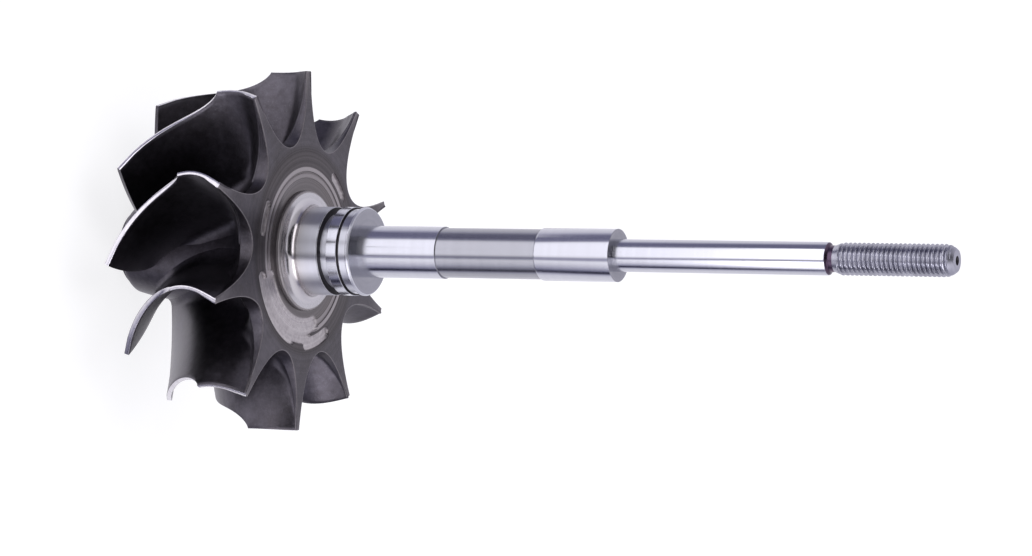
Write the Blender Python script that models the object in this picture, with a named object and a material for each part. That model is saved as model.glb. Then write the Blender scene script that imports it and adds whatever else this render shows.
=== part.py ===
"""Turbine wheel and shaft of an exhaust turbocharger, standing on the nose of the wheel.

The rotor is two real pieces. The wheel is one casting: a hub with a nose, a scalloped back
disc and ten blades. The shaft is one turned steel bar that is welded to the middle of the disc.
Metres, +Z up along the shaft, origin at the middle of the nose's end face. The tip of the
first blade touches the back disc on the +X side.
"""
import math

import bmesh
import bpy

MM = 0.001

# Driving dimensions of the wheel
WHEEL_RADIUS = 36.25 * MM
BLADE_COUNT = 10
BACK_Z = 38.8 * MM
TIP_WIDTH = 9.97 * MM
OUTLET_RADIUS = 31.5 * MM
OUTLET_DEPTH = 27.0 * MM
OUTLET_SLANT = 3.0 * MM
SHROUD_SHAPE = (0.63, 1.48)

# Wrap of the blades about the axis, in degrees
INLET_SWEEP = 4.1
INLET_SWEEP_DEPTH = 7.25 * MM
OUTLET_WRAP = 29.75
OUTLET_WRAP_LINEAR = 0.272
OUTLET_WRAP_POWER = 2.49

# Thickness of the blades
TIP_THICKNESS = 0.8 * MM
ROOT_THICKNESS = 2.2 * MM

# Hub and back disc
HUB_RADIUS = 10.9 * MM
HUB_FLARE_RADIUS = 21.0 * MM
SCALLOP_RADIUS = 21.57 * MM
SCALLOP_OPENING = 7.9 * MM
LOBE_END = 0.15 * MM
DISC_THICKNESS = 2.5 * MM
LOBE_THICKNESS = 0.4 * MM
LOBE_THINNING = 2.5
NOSE_PROFILE = ((7.8, 0.0), (7.8, 0.6), (9.05, 1.5), (9.5, 3.4), (10.2, 7.0))
BACK_PROFILE = ((17.07, 0.7), (15.95, 0.7), (15.85, 0.45), (14.2, 0.5), (13.3, 0.15), (12.5, 0.4))
WHEEL_SEAT = 0.4 * MM

# Balance cuts in the back face: inner radius, outer radius, start and end in degrees
BALANCE_CUTS = (
    (13.6, 16.9, 116.0, 201.5),
    (15.4, 18.8, 105.5, 190.0),
    (17.3, 19.7, 105.5, 168.0),
    (17.5, 20.1, 180.5, 213.0),
    (17.2, 19.0, 60.0, 83.0),
    (17.8, 19.7, -52.5, -32.0),
)
BALANCE_FLOOR = 0.2 * MM

# Driving dimensions of the shaft
WELD_GAP = 0.3 * MM
FLANGE_RADIUS = 12.1 * MM
FLANGE_Z = BACK_Z + 1.45 * MM
SEAL_RADIUS = 8.88 * MM
SEAL_FILLET = 1.7 * MM
SEAL_END_Z = 53.6 * MM
RING_GROOVE = (46.6 * MM, 48.6 * MM, 7.45 * MM)
OIL_GROOVE = (50.9 * MM, 52.95 * MM, 8.5 * MM)
EDGE_CHAMFER = 0.25 * MM
JOURNAL_RADIUS = 5.18 * MM
RELIEF_RADIUS = 4.94 * MM
JOURNAL_ENDS_Z = (70.9 * MM, 92.6 * MM, 108.4 * MM)
STUB_RADIUS = 3.18 * MM
STUB_END_Z = 152.15 * MM
UNDERCUT_RADIUS = 2.54 * MM
UNDERCUT_CONE = 0.45 * MM
THREAD_RADIUS = 3.12 * MM
THREAD_PITCH = 0.907 * MM
THREAD_DEPTH = 0.49 * MM
THREAD_START_Z = 152.75 * MM
THREAD_TURNS = 26
SHAFT_END_Z = 177.5 * MM
SHAFT_END_RADIUS = 2.43 * MM
CENTRE_HOLE_RADIUS = 1.1 * MM
CENTRE_HOLE_DEPTH = 1.9 * MM
SHAFT_SEGMENTS = 24

# Thread profile over one pitch: place along the pitch and depth as a share of the full depth
THREAD_PROFILE = ((0.0, 0.0), (0.4, 1.0), (0.6, 1.0))

PITCH_ANGLE = 2.0 * math.pi / BLADE_COUNT


def clear_scene():
    """Remove whatever the file opened with."""
    for old in list(bpy.data.objects):
        bpy.data.objects.remove(old, do_unlink=True)


def make_material(name, colour, metallic, roughness):
    """One Principled material."""
    material = bpy.data.materials.new(name)
    material.use_nodes = True
    shader = material.node_tree.nodes["Principled BSDF"]
    shader.inputs["Base Color"].default_value = (*colour, 1.0)
    shader.inputs["Metallic"].default_value = metallic
    shader.inputs["Roughness"].default_value = roughness
    return material


def make_object(name, mesh_builder, material):
    """Turn a filled bmesh into a named object with smooth round faces."""
    bmesh.ops.remove_doubles(mesh_builder, verts=mesh_builder.verts, dist=1e-6)
    bmesh.ops.recalc_face_normals(mesh_builder, faces=mesh_builder.faces)
    mesh = bpy.data.meshes.new(name)
    mesh_builder.to_mesh(mesh)
    mesh_builder.free()
    mesh.shade_smooth()
    mesh.set_sharp_from_angle(angle=math.radians(32.0))
    mesh.materials.append(material)
    made = bpy.data.objects.new(name, mesh)
    bpy.context.scene.collection.objects.link(made)
    return made


def polar(radius, angle, z):
    """A point at a radius, an angle from +X and a height."""
    return (radius * math.cos(angle), radius * math.sin(angle), z)


def bridge(mesh_builder, lower, upper):
    """Join two closed rings of vertices with quads."""
    count = len(lower)
    for i in range(count):
        j = (i + 1) % count
        mesh_builder.faces.new((lower[i], lower[j], upper[j], upper[i]))


def close_ring(mesh_builder, ring, z):
    """Close a ring with a fan to a point on the axis."""
    centre = mesh_builder.verts.new((0.0, 0.0, z))
    for i, vertex in enumerate(ring):
        mesh_builder.faces.new((vertex, ring[(i + 1) % len(ring)], centre))


def blade_wrap(depth):
    """Angle of a blade's middle surface, at a depth in front of the back rim.

    It leans back by a few degrees over the inlet, as a sine, and then wraps round towards
    the outlet as the sum of a straight line and a power of the depth.
    """
    inlet = -INLET_SWEEP * math.sin(0.5 * math.pi * min(depth, TIP_WIDTH) / INLET_SWEEP_DEPTH)
    share = max(depth - TIP_WIDTH, 0.0) / (OUTLET_DEPTH - TIP_WIDTH)
    curl = OUTLET_WRAP_LINEAR * share + (1.0 - OUTLET_WRAP_LINEAR) * share ** OUTLET_WRAP_POWER
    return math.radians(inlet + OUTLET_WRAP * curl)


def hub_radius(z):
    """Radius of the hub between the outlet and the disc: a quarter of an ellipse."""
    outlet_z = BACK_Z - OUTLET_DEPTH
    if z <= outlet_z:
        return HUB_RADIUS
    rise = BACK_Z - DISC_THICKNESS - outlet_z
    share = min((z - outlet_z) / rise, 1.0)
    return SCALLOP_RADIUS - (SCALLOP_RADIUS - HUB_RADIUS) * math.sqrt(1.0 - share ** 2)


def hub_profile(steps=7):
    """Radius and height along the hub, from the outlet to where the disc begins."""
    outlet_z = BACK_Z - OUTLET_DEPTH
    rise = BACK_Z - DISC_THICKNESS - outlet_z
    growth = SCALLOP_RADIUS - HUB_RADIUS
    last = math.acos((SCALLOP_RADIUS - HUB_FLARE_RADIUS) / growth)
    angles = [last * i / steps for i in range(steps + 1)]
    return [(SCALLOP_RADIUS - growth * math.cos(a), outlet_z + rise * math.sin(a)) for a in angles]


def rim_outline(steps=4):
    """Angle and radius round the scalloped rim of the disc.

    Each scallop is a parabola: its half width grows with the square root of the way out
    from its bottom. Between two scallops the rim is the narrow end of a lobe.
    """
    lobe_radius = WHEEL_RADIUS - LOBE_END
    outline = []
    for lobe in range(BLADE_COUNT):
        outline.append((lobe * PITCH_ANGLE, lobe_radius))
        for i in range(-steps, steps + 1):
            share = abs(i) / steps
            radius = SCALLOP_RADIUS + (lobe_radius - SCALLOP_RADIUS) * share ** 2
            half_width = math.sqrt(SCALLOP_OPENING * (radius - SCALLOP_RADIUS))
            offset = math.copysign(half_width / radius, i)
            outline.append(((lobe + 0.5) * PITCH_ANGLE + offset, radius))
    return outline


def disc_front(radius):
    """Height of the front face of the disc, which thins towards the tips."""
    share = max((radius - SCALLOP_RADIUS) / (WHEEL_RADIUS - SCALLOP_RADIUS), 0.0)
    thinning = DISC_THICKNESS - LOBE_THICKNESS
    return BACK_Z - LOBE_THICKNESS - thinning * (1.0 - share) ** LOBE_THINNING


def disc_back(radius):
    """Height of the cast back face, which rises slowly towards the machined rings."""
    ring_radius, ring_height = BACK_PROFILE[0]
    share = (WHEEL_RADIUS - radius) / (WHEEL_RADIUS - ring_radius * MM)
    return BACK_Z + ring_height * MM * share


def build_hub_and_disc(material):
    """Hub, nose and scalloped back disc, as one closed skin of columns round the axis."""
    outline = rim_outline()
    rings = []
    for radius, z in NOSE_PROFILE:
        rings.append([(radius * MM, z * MM)] * len(outline))
    for point in hub_profile():
        rings.append([point] * len(outline))
    for share in (0.5, 1.0):
        ring = []
        for _, rim in outline:
            radius = HUB_FLARE_RADIUS + (rim - HUB_FLARE_RADIUS) * share
            ring.append((radius, disc_front(radius)))
        rings.append(ring)
    rings.append([(rim, disc_back(rim)) for _, rim in outline])
    for radius, height in BACK_PROFILE:
        rings.append([(radius * MM, BACK_Z + height * MM)] * len(outline))

    mesh_builder = bmesh.new()
    loops = []
    for ring in rings:
        points = [polar(radius, angle, z) for (angle, _), (radius, z) in zip(outline, ring)]
        loops.append([mesh_builder.verts.new(point) for point in points])
    for lower, upper in zip(loops, loops[1:]):
        bridge(mesh_builder, lower, upper)
    close_ring(mesh_builder, loops[0], 0.0)
    close_ring(mesh_builder, loops[-1], BACK_Z + WHEEL_SEAT)
    return make_object("turbine_wheel", mesh_builder, material)


def blade_edges(tip_steps=3, shroud_steps=8):
    """Depth and radius along the blade's tip and shroud edge, and along its root in the hub."""
    first_depth = 0.5 * MM
    root_first_depth = 1.6 * MM
    root_sink = 1.0 * MM
    outer = []
    for i in range(tip_steps):
        outer.append((first_depth + (TIP_WIDTH - first_depth) * i / tip_steps, WHEEL_RADIUS))
    for i in range(shroud_steps + 1):
        angle = 0.5 * math.pi * i / shroud_steps
        fall = max(math.cos(angle), 0.0) ** SHROUD_SHAPE[0]
        depth = TIP_WIDTH + (OUTLET_DEPTH - TIP_WIDTH) * (1.0 - fall)
        drop = (WHEEL_RADIUS - OUTLET_RADIUS) * math.sin(angle) ** SHROUD_SHAPE[1]
        outer.append((depth, WHEEL_RADIUS - drop))
    stretch = (OUTLET_DEPTH + OUTLET_SLANT - root_first_depth) / (OUTLET_DEPTH - first_depth)
    root = []
    for depth, _ in outer:
        root_depth = root_first_depth + (depth - first_depth) * stretch
        root.append((root_depth, hub_radius(BACK_Z - root_depth) - root_sink))
    return outer, root


def blade_side(place, depth, radius, side):
    """A point on one side of a blade: half the thickness away along the surface's normal."""
    step = 0.01 * MM
    slope = radius * (blade_wrap(depth + step) - blade_wrap(depth - step)) / (2.0 * step)
    thin = (radius - HUB_RADIUS) / (WHEEL_RADIUS - HUB_RADIUS)
    thickness = ROOT_THICKNESS + (TIP_THICKNESS - ROOT_THICKNESS) * thin
    reach = side * 0.5 * thickness / math.sqrt(1.0 + slope ** 2)
    angle = place + blade_wrap(depth) + reach / radius
    return polar(radius, angle, BACK_Z - depth + reach * slope)


def build_blades(material, span_steps=4):
    """All ten blades as closed bodies that start inside the hub and the disc."""
    outer, root = blade_edges()
    mesh_builder = bmesh.new()
    for blade in range(BLADE_COUNT):
        sides = []
        for side in (-1.0, 1.0):
            grid = []
            for (depth_out, radius_out), (depth_in, radius_in) in zip(outer, root):
                row = []
                for i in range(span_steps + 1):
                    share = i / span_steps
                    depth = depth_in + (depth_out - depth_in) * share
                    radius = radius_in + (radius_out - radius_in) * share
                    point = blade_side(blade * PITCH_ANGLE, depth, radius, side)
                    row.append(mesh_builder.verts.new(point))
                grid.append(row)
            sides.append(grid)
        skin_blade(mesh_builder, sides)
    return make_object("blade_bodies", mesh_builder, material)


def skin_blade(mesh_builder, sides):
    """Quads over both sides of a blade and round its rim."""
    for grid in sides:
        for row, next_row in zip(grid, grid[1:]):
            for i in range(len(row) - 1):
                mesh_builder.faces.new((row[i], row[i + 1], next_row[i + 1], next_row[i]))
    left, right = sides
    rim = [(row[0], other[0]) for row, other in zip(left, right)]
    rim += list(zip(left[-1][1:], right[-1][1:]))
    rim += [(row[-1], other[-1]) for row, other in zip(left[-2::-1], right[-2::-1])]
    rim += list(zip(left[0][-2:0:-1], right[0][-2:0:-1]))
    for i, (a, b) in enumerate(rim):
        c, d = rim[(i + 1) % len(rim)]
        mesh_builder.faces.new((a, b, d, c))


def build_balance_cutter(name, cut, material, steps=8, height=2.0 * MM):
    """A curved bar with round ends, as the path of an end mill along an arc."""
    inner, outer, start, end = cut
    middle = 0.5 * (inner + outer) * MM
    half = 0.5 * (outer - inner) * MM
    start = math.radians(start) + half / middle
    end = math.radians(end) - half / middle
    ring = []
    for i in range(steps + 1):
        angle = start + (end - start) * i / steps
        ring.append((middle + half, angle))
    ring += [(middle + half * math.cos(a), end + half / middle * math.sin(a))
             for a in (math.pi * 0.25, math.pi * 0.5, math.pi * 0.75)]
    for i in range(steps + 1):
        angle = end + (start - end) * i / steps
        ring.append((middle - half, angle))
    ring += [(middle - half * math.cos(a), start - half / middle * math.sin(a))
             for a in (math.pi * 0.25, math.pi * 0.5, math.pi * 0.75)]
    mesh_builder = bmesh.new()
    floor = BACK_Z + BALANCE_FLOOR
    low = [mesh_builder.verts.new(polar(radius, angle, floor)) for radius, angle in ring]
    high = [mesh_builder.verts.new(polar(radius, angle, floor + height)) for radius, angle in ring]
    bridge(mesh_builder, low, high)
    mesh_builder.faces.new(low[::-1])
    mesh_builder.faces.new(high)
    return make_object(name, mesh_builder, material)


def use_boolean(target, helper, operation):
    """Join a helper to the target, or cut it away, and hide the helper."""
    modifier = target.modifiers.new(helper.name, "BOOLEAN")
    modifier.operation = operation
    modifier.solver = "EXACT"
    modifier.object = helper
    helper.hide_render = True
    helper.display_type = "WIRE"
    helper.parent = target


def build_wheel():
    """The cast wheel, with its blades joined on and its balance cuts taken out."""
    cast = make_material("cast_nickel_alloy", (0.075, 0.066, 0.066), 0.75, 0.5)
    wheel = build_hub_and_disc(cast)
    use_boolean(wheel, build_blades(cast), "UNION")
    for number, cut in enumerate(BALANCE_CUTS, start=1):
        cutter = build_balance_cutter(f"balance_cutter_{number}", cut, cast)
        use_boolean(wheel, cutter, "DIFFERENCE")
    return wheel


def seal_profile():
    """The flange at the weld, its fillet and the seal boss with two grooves."""
    weld_z = BACK_Z + WHEEL_SEAT + WELD_GAP
    profile = [(FLANGE_RADIUS, weld_z), (FLANGE_RADIUS, FLANGE_Z)]
    for i in range(5):
        angle = 0.5 * math.pi * i / 4
        radius = SEAL_RADIUS + SEAL_FILLET * (1.0 - math.sin(angle))
        profile.append((radius, FLANGE_Z + SEAL_FILLET * (1.0 - math.cos(angle))))
    for start, end, depth_radius in (RING_GROOVE, OIL_GROOVE):
        profile += [(SEAL_RADIUS, start), (depth_radius, start)]
        profile += [(depth_radius, end), (SEAL_RADIUS, end)]
    profile.append((SEAL_RADIUS, SEAL_END_Z - EDGE_CHAMFER))
    profile.append((SEAL_RADIUS - EDGE_CHAMFER, SEAL_END_Z))
    return profile


def journal_profile():
    """Two bearing journals with a relief between them, and the thin shaft up to the thread."""
    first_end, second_start, second_end = JOURNAL_ENDS_Z
    step = JOURNAL_RADIUS - RELIEF_RADIUS
    return [
        (JOURNAL_RADIUS, SEAL_END_Z),
        (JOURNAL_RADIUS, first_end),
        (RELIEF_RADIUS, first_end + step),
        (RELIEF_RADIUS, second_start - step),
        (JOURNAL_RADIUS, second_start),
        (JOURNAL_RADIUS, second_end - 2.0 * EDGE_CHAMFER),
        (JOURNAL_RADIUS - EDGE_CHAMFER, second_end),
        (STUB_RADIUS, second_end),
        (STUB_RADIUS, STUB_END_Z),
        (UNDERCUT_RADIUS, STUB_END_Z + UNDERCUT_CONE),
    ]


def thread_radius(z, depth_share):
    """Radius of the thread at a height, faded into plain metal over its first and last turn."""
    first = THREAD_START_Z + THREAD_PITCH
    last = THREAD_START_Z + (THREAD_TURNS - 2) * THREAD_PITCH
    root = THREAD_RADIUS - THREAD_DEPTH
    full = THREAD_RADIUS - THREAD_DEPTH * depth_share
    if z < 0.5 * (first + last):
        fade = min(max((z - first) / (0.6 * THREAD_PITCH), 0.0), 1.0)
        return UNDERCUT_RADIUS + (full - UNDERCUT_RADIUS) * fade
    fade = min(max((last - z) / (0.6 * THREAD_PITCH), 0.0), 1.0)
    return root + (full - root) * fade


def add_thread(mesh_builder, below, above):
    """A one-start thread between two plain rings.

    The skin is a spiral strip: each vertex lies higher than the one before it round the
    shaft, and the last column meets the first one a whole pitch further up.
    """
    count = len(below)
    per_turn = len(THREAD_PROFILE)
    rows = per_turn * (THREAD_TURNS - 1) + 1
    grid = []
    for row in range(rows):
        place, depth_share = THREAD_PROFILE[row % per_turn]
        turns = row // per_turn + place
        line = []
        for i in range(count):
            z = THREAD_START_Z + THREAD_PITCH * (turns + i / count)
            radius = thread_radius(z, depth_share)
            line.append(mesh_builder.verts.new(polar(radius, 2.0 * math.pi * i / count, z)))
        grid.append(line)
    for line, next_line in zip(grid, grid[1:]):
        for i in range(count - 1):
            mesh_builder.faces.new((line[i], line[i + 1], next_line[i + 1], next_line[i]))
    for row in range(rows - per_turn - 1):
        up = row + per_turn
        mesh_builder.faces.new((grid[row][-1], grid[up][0], grid[up + 1][0], grid[row + 1][-1]))
    for i in range(count - 1):
        mesh_builder.faces.new((below[i], below[i + 1], grid[0][i + 1], grid[0][i]))
        mesh_builder.faces.new((grid[-1][i], grid[-1][i + 1], above[i + 1], above[i]))
    first_seam = [grid[row][0] for row in range(per_turn + 1)]
    mesh_builder.faces.new([below[-1], below[0]] + first_seam + [grid[0][-1]])
    last_seam = [grid[row][-1] for row in range(rows - 1, rows - per_turn - 2, -1)]
    mesh_builder.faces.new(last_seam + [grid[-1][0], above[0], above[-1]])


def build_shaft():
    """The turned shaft, from the weld to the chamfered end with its centre hole."""
    steel = make_material("turned_steel", (0.60, 0.60, 0.62), 1.0, 0.22)
    thread_end_z = THREAD_START_Z + THREAD_TURNS * THREAD_PITCH
    end_profile = [
        (THREAD_RADIUS - THREAD_DEPTH, thread_end_z),
        (SHAFT_END_RADIUS, SHAFT_END_Z),
        (CENTRE_HOLE_RADIUS, SHAFT_END_Z),
    ]
    mesh_builder = bmesh.new()
    loops = []
    for radius, z in seal_profile() + journal_profile() + end_profile:
        angles = [2.0 * math.pi * i / SHAFT_SEGMENTS for i in range(SHAFT_SEGMENTS)]
        loops.append([mesh_builder.verts.new(polar(radius, a, z)) for a in angles])
    below_thread = len(loops) - len(end_profile) - 1
    for i, (lower, upper) in enumerate(zip(loops, loops[1:])):
        if i == below_thread:
            add_thread(mesh_builder, lower, upper)
        else:
            bridge(mesh_builder, lower, upper)
    close_ring(mesh_builder, loops[0], BACK_Z + WHEEL_SEAT + WELD_GAP)
    close_ring(mesh_builder, loops[-1], SHAFT_END_Z - CENTRE_HOLE_DEPTH)
    return make_object("rotor_shaft", mesh_builder, steel)


clear_scene()
build_wheel()
build_shaft()
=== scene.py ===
# %% [markdown]
# # A turbine wheel on its shaft
# An exhaust turbocharger spins on one rotor. Hot gas drives a cast wheel with ten blades, and a
# turned steel shaft that is welded to the wheel carries the power to the cold side. This lesson
# makes the rotor as a turned, cast and ground object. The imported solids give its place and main
# sizes, and each visible surface is worked out again as a fine grid of points.

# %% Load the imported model
import math

import bpy
import numpy as np
from mathutils import Matrix, Vector


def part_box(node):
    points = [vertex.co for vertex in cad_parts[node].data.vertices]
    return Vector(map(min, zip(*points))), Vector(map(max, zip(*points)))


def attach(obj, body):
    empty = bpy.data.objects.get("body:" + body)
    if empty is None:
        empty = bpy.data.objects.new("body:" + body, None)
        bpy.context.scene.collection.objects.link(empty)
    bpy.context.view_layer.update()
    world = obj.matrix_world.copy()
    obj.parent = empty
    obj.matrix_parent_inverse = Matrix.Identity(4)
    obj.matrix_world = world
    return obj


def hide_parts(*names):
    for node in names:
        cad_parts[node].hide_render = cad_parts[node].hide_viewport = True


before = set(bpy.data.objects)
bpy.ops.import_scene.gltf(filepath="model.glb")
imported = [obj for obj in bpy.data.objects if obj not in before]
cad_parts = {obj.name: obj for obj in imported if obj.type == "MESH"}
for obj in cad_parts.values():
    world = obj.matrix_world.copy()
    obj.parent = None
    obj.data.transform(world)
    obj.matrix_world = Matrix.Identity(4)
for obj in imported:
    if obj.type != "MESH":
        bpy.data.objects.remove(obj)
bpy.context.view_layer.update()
print("solids:", sorted(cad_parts))

# %% [markdown]
# ## Sizes
# The solids say how wide the wheel is, where its disc is and where the shaft starts and ends.
# The other sizes are those of a wheel of this kind, in millimetres.

# %% Sizes that come from the solids, and the wheel's own
MM = 0.001
_, wheel_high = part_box("turbine_wheel")
shaft_low, shaft_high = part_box("rotor_shaft")

WHEEL_RADIUS = wheel_high.x
FLANGE_RADIUS = shaft_high.x
SHAFT_FOOT_Z = shaft_low.z
SHAFT_END_Z = shaft_high.z
RING_RISE = 0.7 * MM
BACK_Z = wheel_high.z - RING_RISE

BLADES = 10
PITCH = 2.0 * math.pi / BLADES
TIP_WIDTH = 9.97 * MM
OUTLET_RADIUS = 31.5 * MM
OUTLET_DEPTH = 27.0 * MM
OUTLET_SLANT = 3.0 * MM
HUB_RADIUS = 10.9 * MM
SCALLOP_RADIUS = 21.57 * MM
SCALLOP_OPENING = 7.9 * MM
DISC_THICKNESS = 2.5 * MM
LOBE_THICKNESS = 0.4 * MM
LOBE_THINNING = 2.5
print("wheel across", round(2.0 * WHEEL_RADIUS / MM, 2), "mm")
print("rotor long", round(SHAFT_END_Z / MM, 1), "mm")


# %% [markdown]
# ## Grids
# Every new surface here is a grid: rows of points that run the same way. A grid needs only the
# array of points and a rule that joins neighbours with four-sided faces. `foreach_set` hands
# whole arrays to the mesh at once, so no loop runs over the points.

# %% Turn arrays of points into meshes
def grid_quads(rows, columns):
    """Quads between neighbours of a rows x columns grid whose last column meets its first."""
    index = np.arange(rows * columns).reshape(rows, columns)
    index = np.concatenate([index, index[:, :1]], axis=1)
    quads = (index[:-1, :-1], index[:-1, 1:], index[1:, 1:], index[1:, :-1])
    return np.stack(quads, axis=-1).reshape(-1, 4)


def closed_skin(rings, columns):
    """Quads round a stack of rings, and a face over the first and over the last ring."""
    ring = np.arange(columns)
    return [grid_quads(rings, columns), ring[None, ::-1], ring[None, :] + (rings - 1) * columns]


def add_object(name, data):
    """A new object in the scene that shows a mesh, a lamp or a camera."""
    thing = bpy.data.objects.new(name, data)
    bpy.context.scene.collection.objects.link(thing)
    return thing


def new_piece(name, points, faces, materials, face_slots, sharp):
    """A mesh from points, a list of arrays of faces and a material slot for each face.

    It is shaded smooth, but for edges between faces that differ by more than `sharp` degrees.
    """
    mesh = bpy.data.meshes.new(name)
    sizes = np.concatenate([np.full(len(part), part.shape[1]) for part in faces])
    corners = np.concatenate([part.ravel() for part in faces])
    starts = np.concatenate([[0], np.cumsum(sizes)[:-1]])
    mesh.vertices.add(len(points))
    mesh.vertices.foreach_set("co", np.asarray(points, np.float32).ravel())
    mesh.loops.add(len(corners))
    mesh.loops.foreach_set("vertex_index", corners.astype(np.int32))
    mesh.polygons.add(len(sizes))
    mesh.polygons.foreach_set("loop_start", starts.astype(np.int32))
    mesh.polygons.foreach_set("material_index", face_slots.astype(np.int32))
    mesh.update(calc_edges=True)
    mesh.validate()
    mesh.shade_smooth()
    mesh.set_sharp_from_angle(angle=math.radians(sharp))
    for material in materials:
        mesh.materials.append(material)
    piece = add_object(name, mesh)
    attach(piece, "root")
    print(name, len(points), "points,", len(sizes), "faces")
    return piece


def polar(radius, angle, z):
    """Points at a radius, an angle from +X and a height, as an (..., 3) array."""
    radius, angle, z = np.broadcast_arrays(radius, angle, z)
    return np.stack([radius * np.cos(angle), radius * np.sin(angle), z], axis=-1)


# %% [markdown]
# ## Finishes
# The wheel is cast and never polished: its skin is dark, slightly brown and speckled. Where a
# machine touched it, the metal is light. The shaft is turned and ground, so it mirrors the room
# in long bands that run along it. Effects that several finishes share are node groups. The
# helpers below place one node each, so that a finish reads as a list of steps.

# %% Helpers that place one node
def feed(tree, socket, value):
    """Give a socket a number, a colour or what another node puts out."""
    if isinstance(value, (int, float)):
        socket.default_value = value
    elif isinstance(value, tuple):
        socket.default_value = (*value, 1.0)
    else:
        tree.links.new(value, socket)


def add_math(tree, operation, first, second=0.0, third=None):
    """A Math node; each input is a socket or a number."""
    node = tree.nodes.new("ShaderNodeMath")
    node.operation = operation
    for socket, value in zip(node.inputs, (first, second, third)):
        if value is not None:
            feed(tree, socket, value)
    return node.outputs[0]


def add_blend(tree, share, first, second):
    """The share times the first number, plus the rest of 1 times the second."""
    rest = add_math(tree, "MULTIPLY", second, 1.0 - share)
    return add_math(tree, "MULTIPLY_ADD", first, share, rest)


def add_noise(tree, place, scale, detail=4.0, roughness=0.55):
    """A noise texture's value, at a scale in waves a metre."""
    node = tree.nodes.new("ShaderNodeTexNoise")
    given = {"Vector": place, "Scale": scale, "Detail": detail, "Roughness": roughness}
    for title, value in given.items():
        feed(tree, node.inputs[title], value)
    return node.outputs["Fac"]


def add_ramp(tree, value, stops):
    """A colour ramp; stops are (place, colour or grey)."""
    node = tree.nodes.new("ShaderNodeValToRGB")
    ramp = node.color_ramp
    while len(ramp.elements) < len(stops):
        ramp.elements.new(0.5)
    for element, (place, colour) in zip(ramp.elements, stops):
        element.position = place
        grey = isinstance(colour, (int, float))
        element.color = (colour, colour, colour, 1.0) if grey else (*colour, 1.0)
    tree.links.new(value, node.inputs["Fac"])
    return node.outputs["Color"]


def add_mix(tree, share, first, second, blend="MIX"):
    """Mix two colours by a share; each input is a socket or a value."""
    node = tree.nodes.new("ShaderNodeMix")
    node.data_type = "RGBA"
    node.blend_type = blend
    for socket, value in zip((node.inputs[0], node.inputs[6], node.inputs[7]), (share, first, second)):
        feed(tree, socket, value)
    return node.outputs[2]


def add_step(tree, value, start, end):
    """A smooth step from 0 at the start to 1 at the end."""
    node = tree.nodes.new("ShaderNodeMapRange")
    node.interpolation_type = "SMOOTHSTEP"
    node.inputs["From Min"].default_value = start
    node.inputs["From Max"].default_value = end
    tree.links.new(value, node.inputs["Value"])
    return node.outputs["Result"]


def add_place(tree, kind="Object"):
    """The socket of the Object coordinates, or of another kind."""
    return tree.nodes.new("ShaderNodeTexCoord").outputs[kind]


def split_place(tree, kind="Object"):
    """The same coordinates as three sockets: x, y and z."""
    node = tree.nodes.new("ShaderNodeSeparateXYZ")
    tree.links.new(add_place(tree, kind), node.inputs[0])
    return node.outputs


# %% Helpers for groups and materials
def new_group(name, title, value, numbers, colours=()):
    """A node group with one number in, and the named numbers and colours out."""
    group = bpy.data.node_groups.new(name, "ShaderNodeTree")
    socket = group.interface.new_socket(title, in_out="INPUT", socket_type="NodeSocketFloat")
    socket.default_value = value
    for titles, kind in ((numbers, "NodeSocketFloat"), (colours, "NodeSocketColor")):
        for output in titles:
            group.interface.new_socket(output, in_out="OUTPUT", socket_type=kind)
    given = group.nodes.new("NodeGroupInput").outputs[0]
    return group, given, group.nodes.new("NodeGroupOutput")


def put_out(group, result, **values):
    """Join sockets to the group's outputs by name."""
    for title, value in values.items():
        group.links.new(value, result.inputs[title])


def use_group(tree, group, **values):
    """Place a node group and set its inputs by name."""
    node = tree.nodes.new("ShaderNodeGroup")
    node.node_tree = group
    for title, value in values.items():
        feed(tree, node.inputs[title], value)
    return node.outputs


def new_material(name):
    """A material with its node tree and its Principled shader."""
    material = bpy.data.materials.new(name)
    material.use_nodes = True
    return material, material.node_tree, material.node_tree.nodes["Principled BSDF"]


def wire_metal(tree, shader, colour, roughness, height, depth):
    """Bare metal: its colour, its roughness, and bump from a height of 0 to 1 over a depth in mm."""
    shader.inputs["Metallic"].default_value = 1.0
    tree.links.new(colour, shader.inputs["Base Color"])
    tree.links.new(roughness, shader.inputs["Roughness"])
    bump = tree.nodes.new("ShaderNodeBump")
    bump.inputs["Distance"].default_value = depth * MM
    tree.links.new(height, bump.inputs["Height"])
    tree.links.new(bump.outputs[0], shader.inputs["Normal"])


# %% Group for a cast skin: mottled, speckled, slightly rough
def make_cast_skin():
    """Weighted sums of three noises: broad mottling, fine speckle and the grain of the mould."""
    group, grain, result = new_group("cast_skin", "Grain", 2600.0, ("Tone", "Height", "Speck"))
    place = add_place(group)
    broad = add_noise(group, place, 110.0, 3.0)
    middle = add_noise(group, place, 700.0, 5.0, 0.6)
    fine = add_noise(group, place, grain, 3.0, 0.7)
    speck = add_math(group, "SMOOTH_MIN", add_math(group, "MULTIPLY", fine, fine), 0.6, 0.1)
    put_out(group, result, Speck=speck, Tone=add_blend(group, 0.55, broad, middle),
            Height=add_blend(group, 0.4, middle, fine))
    return group


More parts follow.
